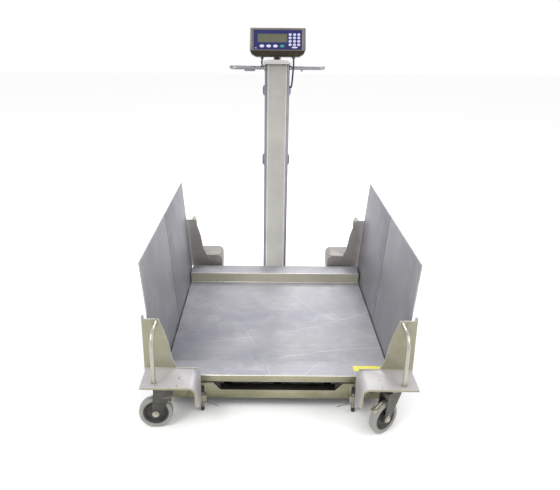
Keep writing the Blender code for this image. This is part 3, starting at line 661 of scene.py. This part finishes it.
# Column: the flat face is pale; the flanks get a darker copy as painted shade, with a painted highlight line
# where they meet
column = radiusedCopy("column", "column_formed", 0.0, ("columnSteel", "columnFlankShade"))
for face in column.data.polygons:
    face.material_index = 0 if abs(face.normal.x) < 0.30 or face.center.z < 0.08 else 1
clearSelection()
column.select_set(True)
bpy.context.view_layer.objects.active = column
bpy.ops.object.shade_smooth_by_angle(angle=math.radians(40.0))
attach(column, "scale")
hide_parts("column")
print("column formed")


# Small parts
def solidBox(name, centre, size, turn=(0.0, 0.0, 0.0), width=0.0, segments=2):
    clearSelection()
    bpy.ops.mesh.primitive_cube_add(size=1.0, location=centre, rotation=turn, scale=size)
    piece = bpy.context.object
    piece.name = name
    bpy.ops.object.transform_apply(location=True, rotation=True, scale=True)
    if width:
        applyBevel(piece, width, segments, 30.0)
    return piece


def solidDisc(name, centre, radii, depth, turn=(0.0, 0.0, 0.0), width=0.0, sides=32):
    clearSelection()
    bpy.ops.mesh.primitive_cylinder_add(vertices=sides, radius=1.0, depth=1.0, location=centre, rotation=turn,
                                        scale=(radii[0], radii[1], depth))
    piece = bpy.context.object
    piece.name = name
    bpy.ops.object.transform_apply(location=True, rotation=True, scale=True)
    if width:
        applyBevel(piece, width, 2, 30.0)
    return piece


def solidRing(name, centre, major, minor, turn=(0.0, 0.0, 0.0)):
    clearSelection()
    bpy.ops.mesh.primitive_torus_add(major_radius=major, minor_radius=minor, major_segments=28,
                                     minor_segments=8,
                                     location=centre, rotation=turn)
    piece = bpy.context.object
    piece.name = name
    bpy.ops.object.transform_apply(location=True, rotation=True, scale=True)
    bpy.ops.object.shade_smooth_by_angle(angle=math.radians(60.0))
    return piece


def merged(name, pieces):
    clearSelection()
    for piece in pieces:
        piece.select_set(True)
    bpy.context.view_layer.objects.active = pieces[0]
    bpy.ops.object.join()
    pieces[0].name = name
    return pieces[0]


# Indicator: printed frame, keys and numerals
faceTurn = (math.radians(78.0), 0.0, 0.0)
facePlane = -0.0734
keys = {
    "functionKeys": {"finish": "whiteKey", "centres": [(-0.0783, -0.0139), (-0.0449, -0.0139), (-0.0115,
                                                                                                -0.0139)],
                     "size": (0.0115, 0.0070)},
    "enterKey": {"finish": "greenKey", "centres": [(0.0219, -0.0139)], "size": (0.0115, 0.0070)},
    "numberKeys": {"finish": "whiteKey", "size": (0.0076, 0.0063),
                   "centres": [(x, z) for z in (0.0408, 0.0254, 0.0091, -0.0072) for x in (0.0608, 0.0823,
                                                                                           0.1032)]},
    "clearKey": {"finish": "whiteKey", "centres": [(0.0838, -0.0202)], "size": (0.0150, 0.0040)},
    "statusLamp": {"finish": "whiteKey", "centres": [(-0.1082, -0.0235)], "size": (0.0030, 0.0030)},
}
for name, facts in keys.items():
    caps = [solidDisc(name, onTerminal(x, facePlane - 0.0003, z), facts["size"], 0.0012, faceTurn, 0.0004)
            for x, z in facts["centres"]]
    finishPiece(merged(name, caps), facts["finish"], "indicator")
numerals = []
for mark, (x, z) in zip("123456789-0+", keys["numberKeys"]["centres"]):
    clearSelection()
    bpy.ops.object.text_add(location=onTerminal(x, facePlane - 0.0010, z), rotation=faceTurn)
    numeral = bpy.context.object
    numeral.data.body = mark
    numeral.data.size = 0.0085
    numeral.data.extrude = 0.0002
    numeral.data.align_x = "CENTER"
    numeral.data.align_y = "CENTER"
    numeral.data.resolution_u = 3
    bpy.ops.object.convert(target="MESH")
    bpy.ops.object.transform_apply(location=True, rotation=True, scale=True)
    numerals.append(bpy.context.object)
finishPiece(merged("numerals", numerals), "numeralInk", "indicator")
rim = [(-0.1002, 0.0038), (-0.1002, 0.0452), (0.0467, 0.0452), (0.0467, 0.0038), (-0.1002, 0.0038)]
frameLine = tubeAlong("displayFrame", [onTerminal(x, facePlane - 0.0002, z) for x, z in rim], 0.0009, 2)
finishPiece(frameLine, "framePrint", "indicator")
glandRings = [solidRing("glandRings", onTerminal(x, -0.030, -0.0640), 0.0072, 0.0016, (math.radians(-12.0),
                                                                                       0.0, 0.0))
              for x in (-0.077, 0.081)]
finishPiece(merged("glandRings", glandRings), "neckPlastic", "indicator")
screws = [solidDisc("housingScrews", onTerminal(x, -0.050, z), (0.0030, 0.0030), 0.0014,
                    (0.0, math.radians(90.0), 0.0), 0.0004, 12)
          for x, z in ((-0.1378, -0.015), (0.1378, -0.015), (-0.1365, 0.055), (0.1365, 0.055))]
finishPiece(merged("housingScrews", screws), "zincPlate", "indicator")
print("indicator detailed")

# Brackets: welds, bolt heads, tape
flat = (0.0, 0.0, 0.0)
for side, end in corners:
    corner = side + "_" + end
    sx, sy = sides[side], ends[end]
    seam = [(sx * (0.300 + 0.0035 * i), sy * 0.5690, 0.2018 + 0.0003 * math.sin(2.1 * i)) for i in range(56)]
    beads = [tubeAlong("seam", seam, 0.0026, 2, [0.85 + 0.25 * (i % 2) for i in range(56)])]
    beads.append(solidRing("footWeld", (sx * 0.4485, sy * 0.672, 0.2022), 0.0092, 0.0022))
    beads.append(solidRing("topWeld", (sx * 0.4485, sy * 0.5690, 0.397), 0.0092, 0.0024, (math.radians(90.0),
                                                                                          0.0, 0.0)))
    finishPiece(merged("welds_" + corner, beads), "weldMetal", "scale")
    bolts = [solidDisc("bolts", (sx * x, sy * y, 0.2014), (0.0055, 0.0055), 0.0022, flat, 0.0007, 24)
             for x, y in ((0.360, 0.636), (0.362, 0.685))]
    bolts += [solidDisc("nuts", (sx * x, sy * y, 0.1845), (0.0060, 0.0060), 0.0050, flat, 0.0006, 6)
              for x, y in ((0.378, 0.606), (0.452, 0.606), (0.378, 0.671), (0.452, 0.671))]
    finishPiece(merged("bolts_" + corner, bolts), "zincPlate", "scale")
tape = solidBox("yellowTape", (0.3600, -0.4808, 0.1483), (0.129, 0.035, 0.0005), flat, 0.0)
finishPiece(tape, "yellowTape", "scale")
print("brackets detailed")

# Casters: bright nuts on the axle, brake shoe and pedal above the tyre
wheel = {"trail": 0.038, "hub": 0.0625, "axis": (0.415, 0.6385)}
shoeRadius = 0.0672
swivels = {"left_front": 184.0, "right_front": 217.0, "right_rear": 4.0, "left_rear": 37.0}
for corner, degrees in swivels.items():
    side, end = corner.split("_")
    pivot = Vector((sides[side] * wheel["axis"][0], ends[end] * wheel["axis"][1], 0.0))
    spin = Matrix.Rotation(math.radians(degrees), 4, "Z")
    axleTurn = (math.radians(90.0), 0.0, math.radians(degrees))

    def onCaster(x, y, z):
        return pivot + spin @ Vector((x, y, z))

    nuts = []
    for out in (-1, 1):
        nuts.append(solidDisc("axleNut", onCaster(wheel["trail"], out * 0.0246, wheel["hub"]), (0.0098,
                0.0098), 0.0056, axleTurn,
                              0.0009, 6))
        nuts.append(solidDisc("axleEnd", onCaster(wheel["trail"], out * 0.0278, wheel["hub"]), (0.0052,
                0.0052), 0.0040, axleTurn,
                              0.0008, 20))
        nuts.append(solidDisc("washer", onCaster(wheel["trail"], out * 0.0219, wheel["hub"]), (0.0125,
                0.0125), 0.0012, axleTurn,
                              0.0004, 28))
    finishPiece(merged("axleNuts_" + corner, nuts), "zincPlate", "caster_" + corner)
    toward = -1 if corner == "left_front" else 1
    arch = [onCaster(wheel["trail"] + toward * shoeRadius * math.cos(a), 0.0,
                     wheel["hub"] + shoeRadius * math.sin(a))
            for a in [math.radians(108.0 - 6.0 * i) for i in range(13)]]
    shoe = tubeAlong("brakeShoe", arch, 0.0030, 2)
    reach = wheel["trail"] + toward * 0.0470
    pedal = solidBox("brakePedal", onCaster(reach, 0.0, 0.1130), (0.023, 0.028, 0.0028),
                     (0.0, math.radians(toward * 24.0), math.radians(degrees)), 0.0008)
    finishPiece(merged("brake_" + corner, [shoe, pedal]), "zincPlate", "caster_" + corner)
    raceRim = solidRing("raceRim_" + corner, (pivot.x, pivot.y, 0.1775), 0.0335, 0.0028)
    finishPiece(raceRim, "zincPlate", "scale")
print("casters detailed")

# Levelling feet: threaded stud and black knob
for side in sides:
    corner = side + "_front"
    axis = (sides[side] * 0.2915, -0.5505)
    thread = [(axis[0], axis[1], 0.0205 + 0.000875 * i) for i in range(75)]
    ridges = tubeAlong("thread_" + corner, thread, 0.0064, 4, [1.0 - 0.13 * (i % 2) for i in range(75)])
    ball = solidDisc("ball", (axis[0], axis[1], 0.0155), (0.0039, 0.0039), 0.0105, flat, 0.0005, 20)
    finishPiece(merged("thread_" + corner, [ridges, ball]), "threadSteel", "foot_stud_" + corner,
                ("foot_stud_" + corner,))
    grip = solidDisc("knob_" + corner, (axis[0], axis[1], 0.09525), (0.0094, 0.0094), 0.0193, flat, 0.0014,
                     16)
    finishPiece(grip, "footRubber", "foot_stud_" + corner)
print("feet detailed")

# Column: weld at the foot, collars where the loops meet it
collars = [solidRing("collar", (sides[side] * 0.0645, y, 1.2015), 0.0102, 0.0020, (0.0, math.radians(90.0),
                                                                                   0.0))
           for side in sides for y in (0.6145, 0.6655)]
foot = [(0.063 - 0.0045 * i, 0.5945, 0.0762) for i in range(29)]
collars.append(tubeAlong("columnWeld", foot, 0.0026, 2, [0.85 + 0.25 * (i % 2) for i in range(29)]))
finishPiece(merged("columnWelds", collars), "weldMetal", "scale")
print("column detailed")
